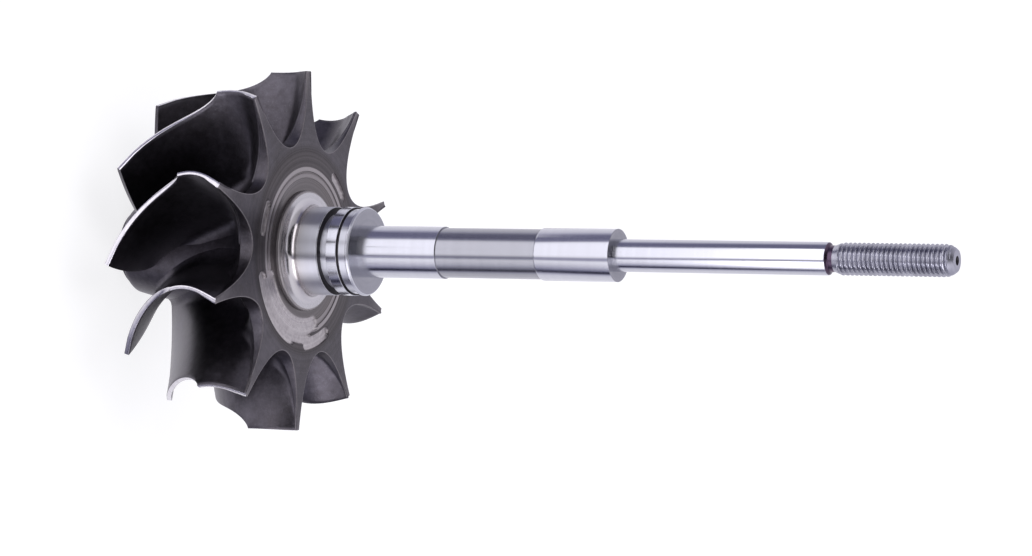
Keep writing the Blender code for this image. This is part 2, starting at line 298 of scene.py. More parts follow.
# %% Group for turned metal: rings round the axis
def make_turned_rings():
    """Noise that changes along the profile only: it reads the radius and the height, not the angle."""
    group, rings, result = new_group("turned_rings", "Rings", 9000.0, ("Height", "Tone", "Radius"))
    x, y, z = split_place(group)
    square = add_math(group, "MULTIPLY_ADD", x, x, add_math(group, "MULTIPLY", y, y))
    radius = add_math(group, "SQRT", square)
    profile = group.nodes.new("ShaderNodeCombineXYZ")
    group.links.new(radius, profile.inputs[0])
    group.links.new(z, profile.inputs[2])
    fine = add_noise(group, profile.outputs[0], rings, 2.0, 0.6)
    coarse = add_noise(group, profile.outputs[0], 900.0, 4.0, 0.6)
    put_out(group, result, Height=add_blend(group, 0.7, fine, coarse), Tone=coarse, Radius=radius)
    return group


CAST_SKIN = make_cast_skin()
TURNED_RINGS = make_turned_rings()


# %% Group for end-milled metal
def make_milled_metal():
    """Light metal in fine arcs: one noise stretched along the cutter's path, one of even grain."""
    group, share, result = new_group("milled_metal", "Share", 0.0, ("Mask",), ("Colour",))
    rings = use_group(group, TURNED_RINGS, Rings=2600.0)
    grain = add_noise(group, add_place(group), 1500.0, 4.0, 0.6)
    colour = add_ramp(group, add_blend(group, 0.55, rings["Height"], grain), [
        (0.34, (0.34, 0.315, 0.325)), (0.5, (0.45, 0.42, 0.43)), (0.66, (0.54, 0.51, 0.51))])
    uneven = add_math(group, "MULTIPLY_ADD", grain, 0.3, 0.82)
    put_out(group, result, Colour=colour, Mask=add_math(group, "MULTIPLY", share, uneven))
    return group


MILLED_METAL = make_milled_metal()


def add_milled(tree, colour):
    """Cover a colour with milled metal where a number stored at each point says so; on the disc that
    number also paints highlights.
    """
    given = tree.nodes.new("ShaderNodeAttribute")
    given.attribute_name = "milled_and_sheen"
    marks = use_group(tree, MILLED_METAL, Share=given.outputs["Fac"])
    return add_mix(tree, marks["Mask"], colour, marks["Colour"])


# %% [markdown]
# ### Cast alloy
# A heat-resistant nickel casting comes out of its shell mould dark grey with a brown and violet
# cast. The same material shows where a cutter took metal off the disc's back to balance the
# rotor, and it is painted on as a highlight along the rim's back edge and as a sheen towards the
# lobes' tips: a number stored at each point of the disc says how much of the light metal shows there.

# %% The wheel's cast finish, with its milled patches and painted highlights
def make_cast_alloy():
    """Dark mottled skin; a number stored at each point turns it into light end-milled metal, also painted
    on as highlights.

    The back face was skimmed on a lathe, so faint rings show there, a little browner further in.
    """
    material, tree, shader = new_material("cast_alloy")
    skin = use_group(tree, CAST_SKIN)
    skim = use_group(tree, TURNED_RINGS, Rings=2200.0)
    height = split_place(tree)[2]
    dark = add_ramp(tree, skin["Tone"], [
        (0.30, (0.055, 0.050, 0.055)), (0.52, (0.092, 0.085, 0.098)), (0.72, (0.138, 0.129, 0.150))])
    specks = add_ramp(tree, skin["Speck"], [(0.30, 0.0), (0.62, 0.35)])
    ringed = add_ramp(tree, skim["Height"], [
        (0.35, (0.036, 0.031, 0.031)), (0.5, (0.070, 0.061, 0.062)), (0.65, (0.125, 0.112, 0.114))])
    on_back = add_step(tree, height, BACK_Z - 0.05 * MM, BACK_Z + 0.02 * MM)
    inner = add_math(tree, "MULTIPLY", on_back, add_step(tree, skim["Radius"], 22.0 * MM, 20.0 * MM))
    share = add_math(tree, "MULTIPLY_ADD", inner, 0.55, add_math(tree, "MULTIPLY", on_back, 0.2))
    skimmed = add_mix(tree, share, add_mix(tree, specks, dark, (0.21, 0.20, 0.22)), ringed)
    roughness = add_math(tree, "MULTIPLY_ADD", skin["Tone"], 0.25, 0.25)
    wire_metal(tree, shader, add_milled(tree, skimmed), roughness, skin["Height"], 0.05)
    return material


cast_alloy = make_cast_alloy()


# %% The ground edges and the machined rings
def make_machined(name, dark, light, roughness, rings, depth):
    """Light metal with fine rings round the axis."""
    material, tree, shader = new_material(name)
    marks = use_group(tree, TURNED_RINGS, Rings=rings)
    colour = add_milled(tree, add_ramp(tree, marks["Tone"], [(0.35, dark), (0.65, light)]))
    uneven = add_math(tree, "MULTIPLY_ADD", marks["Height"], 0.2, roughness - 0.1)
    wire_metal(tree, shader, colour, uneven, marks["Height"], depth)
    return material


ground_edge = make_machined("ground_edge", (0.66, 0.64, 0.67), (0.80, 0.78, 0.81), 0.24, 4000.0, 0.005)
CAST, RING, RECESS = range(3)
BODY_FINISHES = [
    cast_alloy,
    make_machined("machined_ring", (0.22, 0.20, 0.205), (0.35, 0.325, 0.33), 0.3, 5000.0, 0.01),
    make_machined("turned_recess", (0.12, 0.11, 0.112), (0.19, 0.172, 0.175), 0.26, 3000.0, 0.01)]


# %% [markdown]
# ### Turned steel
# The shaft's bands of light stay straight because its tool marks run round it: they spread each
# reflection along the shaft and keep it sharp across. The heat of the weld leaves straw and
# brown tints in the fillet next to the wheel.

# %% The shaft's finish
SMOOTH = 0.15
TINT_HEIGHT = 6.0 * MM
ROUGHER_OVER = 1.2 * MM


def make_turned_steel(name, brightness, roughness, smooth_below=0.0):
    """Bright steel that blurs along the shaft, with a straw tint that fades above the weld.

    Below a height the steel is smooth, and over about a millimetre it reaches its own roughness.
    """
    material, tree, shader = new_material(name)
    marks = use_group(tree, TURNED_RINGS, Rings=7000.0)
    height = split_place(tree)[2]
    tint = add_ramp(tree, add_step(tree, height, SHAFT_FOOT_Z, SHAFT_FOOT_Z + TINT_HEIGHT), [
        (0.0, (0.60, 0.585, 0.61)), (0.25, (0.56, 0.525, 0.52)), (0.6, (0.62, 0.612, 0.64)),
        (1.0, (0.63, 0.636, 0.69))])
    wear_and_sheen = add_ramp(tree, marks["Tone"], [(0.3, 0.95 * brightness), (0.7, brightness)])
    grain = add_math(tree, "MULTIPLY_ADD", marks["Height"], 0.08, SMOOTH - 0.04)
    higher = add_step(tree, height, smooth_below, smooth_below + ROUGHER_OVER)
    uneven = add_math(tree, "MULTIPLY_ADD", higher, roughness - SMOOTH, grain)
    colour = add_mix(tree, 1.0, tint, wear_and_sheen, "MULTIPLY")
    wire_metal(tree, shader, colour, uneven, marks["Height"], 0.002)
    shader.inputs["Anisotropic"].default_value = 1.0
    shader.inputs["Anisotropic Rotation"].default_value = 0.25
    tangent = tree.nodes.new("ShaderNodeTangent")
    tangent.direction_type = "RADIAL"
    tangent.axis = "Z"
    tree.links.new(tangent.outputs[0], shader.inputs["Tangent"])
    return material


# %% Duller steel for the flat faces and the thread, and near-black steel that paints the grooves' shade
def make_dull_steel(name, dark, light, roughness):
    """Turned steel that nobody polished, a little uneven in colour and in roughness."""
    material, tree, shader = new_material(name)
    marks = use_group(tree, TURNED_RINGS, Rings=5000.0)
    skin = use_group(tree, CAST_SKIN, Grain=6000.0)
    tone = add_blend(tree, 0.6, marks["Tone"], skin["Tone"])
    colour = add_ramp(tree, tone, [(0.35, dark), (0.65, light)])
    uneven = add_math(tree, "MULTIPLY_ADD", skin["Tone"], 0.2, roughness - 0.1)
    wire_metal(tree, shader, colour, uneven, marks["Height"], 0.01)
    return material


STEEL, GROOVE_SHADE, FACE, THREAD, RELIEF, SEAL, FOOT, WAIST, RIM, FLANGE, END = range(11)
SHAFT_FINISHES = [
    make_turned_steel("turned_steel", 1.0, SMOOTH),
    # Near-black steel: painted shade on the grooves' walls, at the ends of a groove's floor and inside the
    # centre hole.
    make_dull_steel("groove_painted_shade", (0.035, 0.033, 0.037), (0.075, 0.07, 0.075), 0.5),
    make_dull_steel("face_steel", (0.27, 0.27, 0.305), (0.37, 0.37, 0.41), 0.22),
    make_dull_steel("thread_steel", (0.32, 0.32, 0.37), (0.53, 0.53, 0.59), 0.27),
    make_dull_steel("relief_steel", (0.04, 0.023, 0.045), (0.135, 0.095, 0.145), 0.28),
    make_turned_steel("seal_steel", 1.0, 0.30),
    make_turned_steel("foot_steel", 1.0, 0.38, BACK_Z + 2.6 * MM),
    make_turned_steel("waist_steel", 0.64, 0.19),
    make_dull_steel("rim_steel", (0.26, 0.245, 0.25), (0.38, 0.355, 0.36), 0.5),
    make_dull_steel("flange_steel", (0.48, 0.47, 0.49), (0.58, 0.57, 0.59), 0.26),
    make_dull_steel("end_steel", (0.34, 0.34, 0.40), (0.50, 0.50, 0.57), 0.42)]
print("finishes:", len(bpy.data.materials))


# %% [markdown]
# ## The blade's surface
# A turbine blade of this kind is radial: every point straight above another has the same angle
# about the axis, so that spinning only pulls on it and doesn't bend it. One formula in the depth
# from the back rim then gives the whole middle surface. It leans back a little where the gas
# enters, and wraps round by thirty degrees where the gas leaves.

# %% Formulas for the wheel
INLET_SWEEP = math.radians(4.1)
INLET_SWEEP_DEPTH = 7.25 * MM
OUTLET_WRAP = math.radians(29.75)
WRAP_LINEAR = 0.272
WRAP_POWER = 2.49


def blade_wrap(depth):
    """Angle of the middle surface: a sine over the inlet, then a line plus a power of the depth."""
    inlet = -INLET_SWEEP * np.sin(0.5 * np.pi * np.minimum(depth, TIP_WIDTH) / INLET_SWEEP_DEPTH)
    share = np.maximum(depth - TIP_WIDTH, 0.0) / (OUTLET_DEPTH - TIP_WIDTH)
    return inlet + OUTLET_WRAP * (WRAP_LINEAR * share + (1.0 - WRAP_LINEAR) * share ** WRAP_POWER)


def blade_slope(depth, radius):
    """How far the surface moves round for each step forward: radius times the wrap's slope."""
    step = 0.01 * MM
    return radius * (blade_wrap(depth + step) - blade_wrap(depth - step)) / (2.0 * step)


def hub_radius(z):
    """Quarter ellipse from the outlet to the disc, and a slow parabola towards the nose."""
    outlet_z = BACK_Z - OUTLET_DEPTH
    share = np.clip((z - outlet_z) / (OUTLET_DEPTH - DISC_THICKNESS), 0.0, 1.0)
    fall = np.maximum(outlet_z - z, 0.0)
    flare = SCALLOP_RADIUS - (SCALLOP_RADIUS - HUB_RADIUS) * np.sqrt(1.0 - share ** 2)
    return flare - 0.1 * fall - 7.5 * fall ** 2


def front_depth(radius):
    """Depth of the disc's front under the back rim: it falls off as a power of the way to the tip."""
    share = np.clip((WHEEL_RADIUS - radius) / (WHEEL_RADIUS - SCALLOP_RADIUS), 0.0, 1.0)
    return LOBE_THICKNESS + (DISC_THICKNESS - LOBE_THICKNESS) * share ** LOBE_THINNING


def lobe_half_width(radius):
    """Half a lobe: half the pitch less the scallop, whose width grows as a square root."""
    gap = np.sqrt(SCALLOP_OPENING * np.maximum(radius - SCALLOP_RADIUS, 0.0))
    return radius * 0.5 * PITCH - gap


def fillet(distance, radius):
    """How far a round corner stands out from a wall, at a distance from the floor."""
    rest = np.clip(radius - distance, 0.0, radius)
    return radius - np.sqrt(np.maximum(radius ** 2 - rest ** 2, 0.0))


# %% [markdown]
# ## The ten blades
# Each blade is a grid of lines from its root to its edge. It gets thicker towards the root, and
# at the hub and at the disc it flares out in a round fillet that lands flat on them, as a casting
# must, because a sharp inner corner would crack. The tip and the shroud edge are ground after
# casting, so their faces get the bright finish.

# %% Lines across one blade, in depth and radius
TIP_THICKNESS = 0.8 * MM
ROOT_THICKNESS = 2.1 * MM
ROOT_SINK = 0.35 * MM
ROOT_HIGHEST = 20.5 * MM
TIP_FOOT = 1.3 * MM
SHROUD_DEPTH_POWER = 0.63
SHROUD_DROP_POWER = 1.48
ACROSS = 40
EDGE_STEPS = 3


def edge_lines():
    """Depth and radius at the outer end and at the root end of every line."""
    buried = np.array([-0.34, -0.17]) * MM
    round_part = (1.0 - np.cos(np.linspace(0.0, 0.5 * np.pi, 8))) * TIP_FOOT
    straight = np.linspace(TIP_FOOT, TIP_WIDTH - LOBE_THICKNESS, 16)[1:]
    height = np.concatenate([buried, round_part, straight])
    tip = np.stack([LOBE_THICKNESS + height, np.full(len(height), WHEEL_RADIUS)])
    angle = np.linspace(0.0, 0.5 * np.pi, 44)[1:]
    onward = 1.0 - np.maximum(np.cos(angle), 0.0) ** SHROUD_DEPTH_POWER
    depth = TIP_WIDTH + (OUTLET_DEPTH - TIP_WIDTH) * onward
    radius = WHEEL_RADIUS - (WHEEL_RADIUS - OUTLET_RADIUS) * np.sin(angle) ** SHROUD_DROP_POWER
    outer = np.concatenate([tip, np.stack([depth, radius])], axis=1)
    last = OUTLET_DEPTH + OUTLET_SLANT
    share = (outer[0] - LOBE_THICKNESS) / (OUTLET_DEPTH - LOBE_THICKNESS)
    root_depth = DISC_THICKNESS + (last - DISC_THICKNESS) * np.where(share < 0.0, 2.0 * share, share)
    root_radius = np.minimum(hub_radius(BACK_Z - root_depth), ROOT_HIGHEST) - ROOT_SINK
    return outer, np.stack([root_depth, root_radius])


def body_distance(z, radius):
    """Distance from the hub's curve and the disc's front, by the nearest of many points; 0 inside."""
    turn = np.linspace(0.0, 0.5 * np.pi, 700)
    nose_z = np.linspace(2.0 * MM, BACK_Z - OUTLET_DEPTH, 300)[:-1]
    disc = np.linspace(SCALLOP_RADIUS, WHEEL_RADIUS, 600)[1:]
    hub_z = BACK_Z - OUTLET_DEPTH + (OUTLET_DEPTH - DISC_THICKNESS) * np.sin(turn)
    line_z = np.concatenate([nose_z, hub_z, BACK_Z - front_depth(disc)])
    line_r = np.concatenate([hub_radius(nose_z), hub_radius(hub_z), disc])
    flat = np.hypot(z.ravel()[:, None] - line_z, radius.ravel()[:, None] - line_r).min(axis=1)
    inside = (radius < hub_radius(z)) | (BACK_Z - z < front_depth(radius))
    return np.where(inside, 0.0, flat.reshape(z.shape))


def half_plate(depth, radius):
    """Half the blade's thickness away from its fillets, thinner outwards and at the outlet."""
    thin = np.clip((radius - HUB_RADIUS) / (WHEEL_RADIUS - HUB_RADIUS), 0.0, 1.0)
    plate = 0.5 * (ROOT_THICKNESS + (TIP_THICKNESS - ROOT_THICKNESS) * thin)
    outlet = np.clip((depth - 0.7 * OUTLET_DEPTH) / (0.4 * OUTLET_DEPTH), 0.0, 1.0)
    return plate * (1.0 - 0.3 * outlet * (1.0 - thin))


# %% The blade's fillets
HUB_FILLET = (1.3, 1.6)  # in mm at the nose, and how much more at the disc
HUB_FILLET_GROWS = (12.0 * MM, 20.0 * MM)  # from this height, over this length
DISC_FILLET_FROM = 17.0 * MM  # from this radius outwards the hub's fillet turns into the disc's


def foot_width(depth, radius, plate, side):
    """How far the fillet stands out on one side of the blade (1 or -1), measured round the axis.

    The fillet is a quarter circle at the hub. At the disc it is a parabola that starts flush with
    the lobe's side, so that the lobe's wall runs on into the blade. The blade leans, so the way
    from its middle to the lobe's two sides isn't the same.
    """
    z = BACK_Z - depth
    grown = np.clip((z - HUB_FILLET_GROWS[0]) / HUB_FILLET_GROWS[1], 0.0, 1.0)
    size = (HUB_FILLET[0] + HUB_FILLET[1] * grown) * MM
    margin = (0.04 + 0.1 * np.exp(-np.abs(radius - SCALLOP_RADIUS) / (0.8 * MM))) * MM
    room = np.maximum(lobe_half_width(radius) - margin - plate - side * radius * blade_wrap(depth), 0.0)
    size = np.clip(1.3 * room, 0.9 * MM, size)
    distance = body_distance(z, radius)
    at_hub = fillet(distance, size) * np.minimum(room / size, 1.0)
    rise = np.clip(2.4 * room, 1.6 * MM, 3.6 * MM)
    at_disc = room * (1.0 - np.minimum(distance / rise, 1.0)) ** 2
    share = np.clip((radius - DISC_FILLET_FROM) / (SCALLOP_RADIUS - DISC_FILLET_FROM), 0.0, 1.0)
    return at_hub + (at_disc - at_hub) * share


def blade_plate():
    """Depth, radius, half thickness and both feet of one blade; its first lines follow the disc."""
    outer, root = edge_lines()
    share = np.linspace(0.0, 1.0, ACROSS) ** 1.5
    radius = root[1][:, None] + (outer[1] - root[1])[:, None] * share
    depth = root[0][:, None] + (outer[0] - root[0])[:, None] * share
    bend = front_depth(radius) - DISC_THICKNESS - (LOBE_THICKNESS - DISC_THICKNESS) * share
    onward = (outer[0] - LOBE_THICKNESS) / (OUTLET_DEPTH - LOBE_THICKNESS)
    depth += bend * (1.0 - onward[:, None])
    plate = half_plate(depth, radius)
    left, right = (foot_width(depth, radius, plate, side) for side in (1, -1))
    return depth, radius, plate, left, right


plate_depth, plate_radius, plate_half, left_foot, right_foot = blade_plate()
thickness = 2.0 * plate_half / MM
print("blade thickness from", round(thickness.min(), 2), "to", round(thickness.max(), 2), "mm")


# %% One blade as a closed grid with a ground edge
EDGE_BEVEL = 0.07 * MM


def blade_points(number):
    """Points of one blade as rings: up the left side, over the edge and down the right side.

    A point lies half the thickness away from the middle surface along its normal, which tilts
    as the blade wraps. The foot is added square to the axis, so that it stays on the disc.
    """
    depth, radius = plate_depth, plate_radius.copy()
    over_depth = np.repeat(depth[:, -1:], EDGE_STEPS, axis=1)
    over_radius = np.repeat(radius[:, -1:], EDGE_STEPS, axis=1)
    radius[:, -1] -= EDGE_BEVEL
    side = np.linspace(1.0, -1.0, EDGE_STEPS)
    over_half = (plate_half[:, -1:] - EDGE_BEVEL) * side
    over_foot = 0.5 * (left_foot[:, -1:] * (1.0 + side) - right_foot[:, -1:] * (1.0 - side))
    depth = np.concatenate([depth, over_depth, depth[:, ::-1]], axis=1)
    radius = np.concatenate([radius, over_radius, radius[:, ::-1]], axis=1)
    reach = np.concatenate([plate_half, over_half, -plate_half[:, ::-1]], axis=1)
    foot = np.concatenate([left_foot, over_foot, -right_foot[:, ::-1]], axis=1)
    slope = blade_slope(depth, radius)
    across_plate = reach / np.sqrt(1.0 + slope ** 2)
    angle = number * PITCH + blade_wrap(depth) + (across_plate + foot) / radius
    return polar(radius, angle, BACK_Z - depth + across_plate * slope)


def make_blade(number):
    """One blade as one closed mesh: its skin, and quads and a triangle over its first and last ring."""
    points = blade_points(number)
    lines, columns = points.shape[:2]
    half = columns // 2
    slots = np.zeros((lines - 1, columns), int)
    slots[:, ACROSS:ACROSS + EDGE_STEPS - 1] = 1
    faces = [grid_quads(lines, columns)]
    for line, turned in ((0, 1), (lines - 1, -1)):
        left = line * columns + np.arange(half)
        right = line * columns + np.arange(columns - 1, columns - 1 - half, -1)
        faces.append(np.stack([left[:-1], right[:-1], right[1:], left[1:]], axis=-1)[:, ::turned])
        middle = line * columns + half + np.array([[-1, 0, 1]])
        faces.append(middle[:, ::-turned])
    rest = np.zeros(sum(len(part) for part in faces[1:]), int)
    piece = new_piece(f"blade_{number + 1:02d}", points.reshape(-1, 3), faces, [cast_alloy, ground_edge],
                      np.concatenate([slots.ravel(), rest]), 50.0)


for blade in range(BLADES):
    make_blade(blade)

# %% [markdown]
# ## Hub and back disc
# The rest of the casting is one skin wound round the axis: the nose, the hub's long flare, the
# disc's front, its rounded rim and its back. Each ring of that skin has the same number of
# points. Near the rim the rings follow the scallops, and further in they are round.

# %% The scalloped outline, and the same outline moved inwards
RIM_RADIUS = WHEEL_RADIUS - 0.06 * MM


def rim_outline(steps=24):
    """Angle and radius round the rim: parabolas between the blades, joined by the lobes' ends."""
    share = np.linspace(-1.0, 1.0, 2 * steps + 1)
    share = np.sign(share) * np.abs(share) ** 0.8
    radius = SCALLOP_RADIUS + (RIM_RADIUS - SCALLOP_RADIUS) * share ** 2
    offset = np.sign(share) * np.sqrt(SCALLOP_OPENING * (radius - SCALLOP_RADIUS)) / radius
    angles = [np.concatenate([[n * PITCH], (n + 0.5) * PITCH + offset]) for n in range(BLADES)]
    return np.concatenate(angles), np.tile(np.concatenate([[RIM_RADIUS], radius]), BLADES)


def inset(outline, distance):
    """Move each point of a closed outline inwards, square to the line through its neighbours."""
    along = np.roll(outline, -1, axis=0) - np.roll(outline, 1, axis=0)
    along /= np.linalg.norm(along, axis=1, keepdims=True)
    return outline + distance[:, None] * np.stack([-along[:, 1], along[:, 0]], axis=1)


rim_angle, rim_radius = rim_outline()
rim = np.stack([rim_radius * np.cos(rim_angle), rim_radius * np.sin(rim_angle)], axis=1)
print("rim points:", len(rim))

# %% [markdown]
# ### Balance cuts
# A rotor that turns a hundred thousand times a minute is balanced by milling a little metal off
# its back. Each cut is the path of an end mill along an arc. The distance from that arc, less the
# cutter's radius, says for any point whether it is inside the cut.

# %% Depth of the balance cuts at any point of the back face
CUTS = (  # inner and outer radius in mm, start and end angle in degrees
    (13.6, 16.9, 107.5, 201.5),
    (15.4, 18.8, 111.0, 190.0),
    (17.3, 19.7, 105.5, 168.0),
    (17.5, 20.1, 180.5, 213.0),
    (17.2, 19.0, 60.0, 83.0),
    (17.8, 19.7, -52.5, -32.0),
)
CUT_EDGE = 0.12 * MM
CUT_FLOOR = 0.2 * MM


def cut_share(radius, angle):
    """1 inside a cut and 0 outside it, with a narrow slope between them."""
    share = np.zeros(np.broadcast(radius, angle).shape)
    for inner, outer, start, end in CUTS:
        middle, half = 0.5 * (inner + outer) * MM, 0.5 * (outer - inner) * MM
        low, high = math.radians(start) + half / middle, math.radians(end) - half / middle
        centre = 0.5 * (low + high)
        away = np.abs((angle - centre + np.pi) % (2.0 * np.pi) - np.pi) - 0.5 * (high - low)
        far = np.hypot(radius - middle, np.maximum(away, 0.0) * middle) - half
        share = np.maximum(share, np.clip(0.5 - far / CUT_EDGE, 0.0, 1.0))
    return share


# %% Rings from the nose to the rim
NOSE_FLAT = 7.4
NOSE_ROUND = 0.4
NOSE_RINGS = ((7.82, 0.7), (7.95, 0.78), (8.5, 1.12), (8.95, 1.5))  # radius and height in mm
HUB_FIRST_Z = 1.75 * MM
HUB_LAST_RADIUS = 21.0 * MM
DISC_START = 20.9 * MM
FRONT_ROUND = 0.3 * MM
BACK_ROUND = 0.11 * MM
BACK_STEP = 0.1 * MM
ROUND_LIMIT = 0.34  # the most that a rounding takes of the rim's thickness
# Painted highlight: light metal painted along the rounding of the rim's back edge.
EDGE_HIGHLIGHT = 0.35
RING_TOP = 17.12


def back_height(radius):
    """The cast back face rises in a straight line from the rim to the machined rings."""
    share = (WHEEL_RADIUS - radius) / (WHEEL_RADIUS - RING_TOP * MM)
    return RING_RISE * np.minimum(share, 1.0)


def round_ring(radius, z):
    """A round ring with a point at each of the rim's angles."""
    return polar(radius, rim_angle, z)


def rim_rings():
    """Rings over the disc's front, round its rim and on to its back, and how much painted highlight each
    one gets.

    Both corners of the rim are quarter circles, which get smaller where the lobe is thin.
    """
    start = DISC_START * np.stack([np.cos(rim_angle), np.sin(rim_angle)], axis=1)
    depth, height = front_depth(rim_radius), back_height(rim_radius)
    front_round = np.minimum(FRONT_ROUND, ROUND_LIMIT * (depth + height))
    back_round = np.minimum(BACK_ROUND, ROUND_LIMIT * (depth + height))
    front_rim, back_rim = inset(rim, front_round), inset(rim, back_round + BACK_STEP)
    rings = []
    for share in np.linspace(0.0, 1.0, 13)[1:]:
        flat = start + (front_rim - start) * share
        rings.append((flat, BACK_Z - front_depth(np.hypot(*flat.T)), 0.0))
    for a in np.linspace(0.0, 0.5 * np.pi, 5)[1:]:
        flat = inset(rim, front_round * (1.0 - math.sin(a)))
        rings.append((flat, BACK_Z - depth + front_round * (1.0 - math.cos(a)), 0.0))
    # Round the back corner; light metal is painted on it as a highlight, strongest at the back face.
    for a in np.linspace(0.5 * np.pi, 0.0, 4):
        flat = inset(rim, back_round * (1.0 - math.sin(a)))
        rings.append((flat, BACK_Z + height - back_round * (1.0 - math.cos(a)), EDGE_HIGHLIGHT * math.cos(a)))
    for share in np.linspace(1.0, 0.0, 9):
        flat = start + (back_rim - start) * share
        rings.append((flat, BACK_Z + back_height(np.hypot(*flat.T)), 0.0))
    return [np.column_stack([flat, z]) for flat, z, _ in rings], [highlight for _, _, highlight in rings]


def front_rings():
    """All rings from the nose's end, over the hub and round the rim, and how much painted highlight each
    one gets.
    """
    rings = [round_ring(share * NOSE_FLAT * MM, 0.0) for share in np.linspace(0.02, 1.0, 7)]
    for a in np.linspace(0.0, 0.5 * np.pi, 5)[1:]:
        radius = NOSE_FLAT + NOSE_ROUND * math.sin(a)
        rings.append(round_ring(radius * MM, NOSE_ROUND * (1.0 - math.cos(a)) * MM))
    rings += [round_ring(radius * MM, z * MM) for radius, z in NOSE_RINGS]
    for z in np.linspace(HUB_FIRST_Z, BACK_Z - OUTLET_DEPTH, 14):
        rings.append(round_ring(hub_radius(z), z))
    flare = math.acos(0.06 * MM / (SCALLOP_RADIUS - HUB_RADIUS))
    for a in np.linspace(0.0, flare, 34)[1:]:
        radius = SCALLOP_RADIUS - (SCALLOP_RADIUS - HUB_RADIUS) * math.cos(a)
        z = BACK_Z - OUTLET_DEPTH + (OUTLET_DEPTH - DISC_THICKNESS) * math.sin(a)
        if radius < HUB_LAST_RADIUS:
            rings.append(round_ring(radius, z))
    made, wear_and_sheen = rim_rings()
    return np.array(rings + made), np.array([0.0] * len(rings) + wear_and_sheen)


# %% Rings of the back face
BACK_RINGS = (  # radius and height over the back rim in mm, and the finish from there inwards
    (RING_TOP, 0.7, CAST), (17.0, 0.66, CAST), (16.75, 0.64, RING), (16.05, 0.64, RING),
    (15.97, 0.5, RECESS), (15.66, 0.5, RECESS), (15.58, 0.62, RING), (14.75, 0.62, RING),
    (14.55, 0.57, RECESS), (14.1, 0.48, RECESS), (13.6, 0.43, RECESS), (13.05, 0.41, RECESS),
    (12.65, 0.41, RECESS), (12.42, 0.41, RECESS),
)
RING_SPACING = 0.15
SEAT_EDGE = 13.55 * MM
# Painted sheen: light metal painted on the disc from 30 mm out, full at 36 mm, towards the lobes' tips.
TIP_SHINE = 0.22


def back_rings():
    """Rings of the back face inside the scallops, close together where the cuts are."""
    outer = np.linspace(20.75, RING_TOP + 0.13, 26)
    rings = [(radius * MM, float(back_height(radius * MM))) for radius in outer]
    slots = [CAST] * len(rings)
    for (radius, height, finish), (next_radius, next_height, _) in zip(BACK_RINGS, BACK_RINGS[1:]):
        steps = max(1, round((radius - next_radius) / RING_SPACING))
        for i in range(steps):
            share = i / steps
            rings.append(((radius + (next_radius - radius) * share) * MM,
                          (height + (next_height - height) * share) * MM))
            slots.append(finish)
    radius, height, finish = BACK_RINGS[-1]
    rings += [(share * radius * MM, height * MM) for share in (1.0, 0.85, 0.4, 0.03)]
    slots += [finish] * 4
    made = []
    for radius, height in rings:
        sunk = (CUT_FLOOR - height) * cut_share(radius, rim_angle) * (height > CUT_FLOOR)
        made.append(round_ring(radius, BACK_Z + height + sunk))
    return np.array(made), np.array(rings)[:, 0], np.array(slots)


def make_body():
    """Hub and disc as one closed skin, with a number at each point for its milled metal and painted
    highlights.
    """
    front, wear_and_sheen = front_rings()
    back, back_radius, back_slots = back_rings()
    points = np.concatenate([front, back])
    count = len(rim_angle)
    slots = np.concatenate([[CAST] * len(front), back_slots[1:]])
    face_slots = np.concatenate([np.repeat(slots, count), [CAST, RECESS]])
    piece = new_piece("cast_hub_and_disc", points.reshape(-1, 3), closed_skin(len(points), count),
                      BODY_FINISHES, face_slots, 40.0)
    tip = np.clip((np.hypot(front[:, :, 0], front[:, :, 1]) / MM - 30.0) / 6.0, 0.0, 1.0)
    cut = cut_share(back_radius[:, None], rim_angle[None, :])
    cut[back_radius < SEAT_EDGE] = 0.0
    # The painted highlight on the back edge and the painted sheen towards the tips share this number with
    # the milled cuts.
    milled_and_sheen = np.concatenate([wear_and_sheen[:, None] + TIP_SHINE * tip, cut])
    attribute = piece.data.attributes.new("milled_and_sheen", "FLOAT", "POINT")
    attribute.data.foreach_set("value", milled_and_sheen.astype(np.float32).ravel())
    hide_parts("turbine_wheel")


make_body()

# %% [markdown]
# ## The shaft
# A turned bar is a profile spun round the axis. Its steps are the parts that matter: the boss
# that the seal ring sits on, two journals for the bearings, the thin shaft that the compressor
# wheel slides on, and the thread that holds it all together.

# %% The profile below the thread, in mm
SEAL_RADIUS = 8.88
SEAL_FILLET = 1.7
SEAL_END_Z = 53.6
GROOVES = (  # start, end, radius of the floor, and the widths of lines of painted shade at the floor's ends
    (46.6, 48.6, 7.45, None), (50.9, 52.95, 8.5, (0.4, 0.22)))
FLANGE_LOW_Z = BACK_Z / MM + 0.34
FLANGE_TOP_Z = BACK_Z / MM + 1.25
FLANGE_ROUND = 0.4
FOOT_TOP_Z = 46.4
JOURNAL_RADIUS = 5.18
WAIST_RADIUS = 4.94
WAIST_LOW_Z = 70.95
WAIST_TOP_Z = 92.4
THIN_RADIUS = 3.18
THIN_LOW_Z = 108.4
THIN_TOP_Z = 151.9
UNDERCUT_RADIUS = 2.54
BROKEN_EDGE = 0.07


def arc(radius, z, size, start, end, steps=6):
    """Points along a quarter circle about (radius, z), angles in degrees from outwards to up."""
    turn = np.radians(np.linspace(start, end, steps + 1))
    return [(radius + size * math.cos(a), z + size * math.sin(a)) for a in turn]


